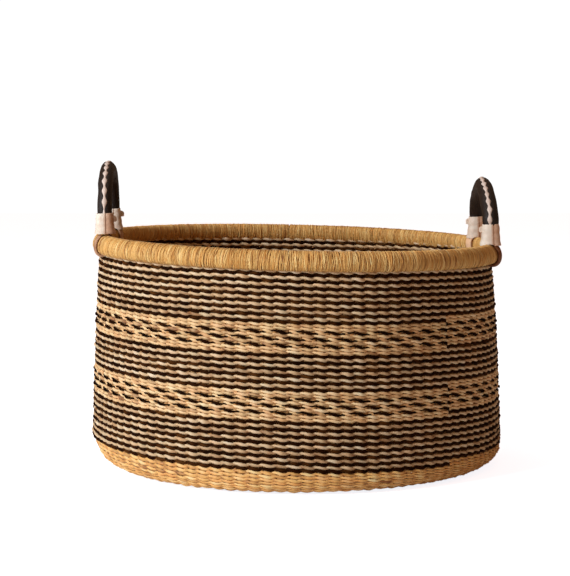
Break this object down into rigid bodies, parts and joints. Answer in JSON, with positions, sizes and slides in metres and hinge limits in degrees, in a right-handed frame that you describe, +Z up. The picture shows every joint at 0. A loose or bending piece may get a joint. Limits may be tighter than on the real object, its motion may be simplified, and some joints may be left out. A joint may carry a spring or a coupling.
{
  "type": "twined grass laundry basket",
  "caption": "Round twined grass basket with a flat base, striped and dashed wall bands, a straw-wrapped rim and arched leather-covered handles that swing a little on straps round the rim.",
  "frame": {"origin": "centre of the underside, on the floor", "axes": "+Z up, -Y to the front of the picture, +X to the right-hand handle"},
  "size_m": [0.51, 0.51, 0.3733],
  "materials": {
    "natural_grass": "matt twined grass, undyed",
    "striped_grass": "matt twined grass, black and undyed courses by turns",
    "dashed_grass": "matt twined grass, undyed with black dashes",
    "stake_grass": "matt bundled grass",
    "rim_straw": "straw wound close, slight sheen",
    "black_leather": "black dyed leather, soft sheen",
    "pale_leather": "pale undyed lacing",
    "raw_leather": "raw tan leather, matt"
  },
  "bodies": {
    "basket": {"base_weave": "natural_grass", "foot_band": "natural_grass", "lower_stripe_band": "striped_grass", "lower_dash_band": "dashed_grass", "middle_stripe_band": "striped_grass", "upper_dash_band": "dashed_grass", "upper_stripe_band": "striped_grass", "stake_cage": "stake_grass", "rim_core": "stake_grass", "rim_wrapping": "rim_straw"},
    "left_handle": {"left_handle_core": "stake_grass", "left_handle_leather": "black_leather", "left_handle_lacing": "pale_leather", "left_front_collar": "raw_leather", "left_front_collar_tab": "raw_leather", "left_front_rim_strap": "raw_leather", "left_back_collar": "raw_leather", "left_back_collar_tab": "raw_leather", "left_back_rim_strap": "raw_leather"},
    "right_handle": {"right_handle_core": "stake_grass", "right_handle_leather": "black_leather", "right_handle_lacing": "pale_leather", "right_front_collar": "raw_leather", "right_front_collar_tab": "raw_leather", "right_front_rim_strap": "raw_leather", "right_back_collar": "raw_leather", "right_back_collar_tab": "raw_leather", "right_back_rim_strap": "raw_leather"}
  },
  "joints": [
    {"name": "left_handle_swing", "type": "hinge", "parent": "basket", "child": "left_handle", "pos_m": [-0.23372, 0, 0.27281], "axis": [0, -1, 0], "range_deg": [-15, 25]},
    {"name": "right_handle_swing", "type": "hinge", "parent": "basket", "child": "right_handle", "pos_m": [0.23362, 0.00693, 0.26159], "axis": [-0.0297, 0.9996, 0], "range_deg": [-15, 25]}
  ]
}
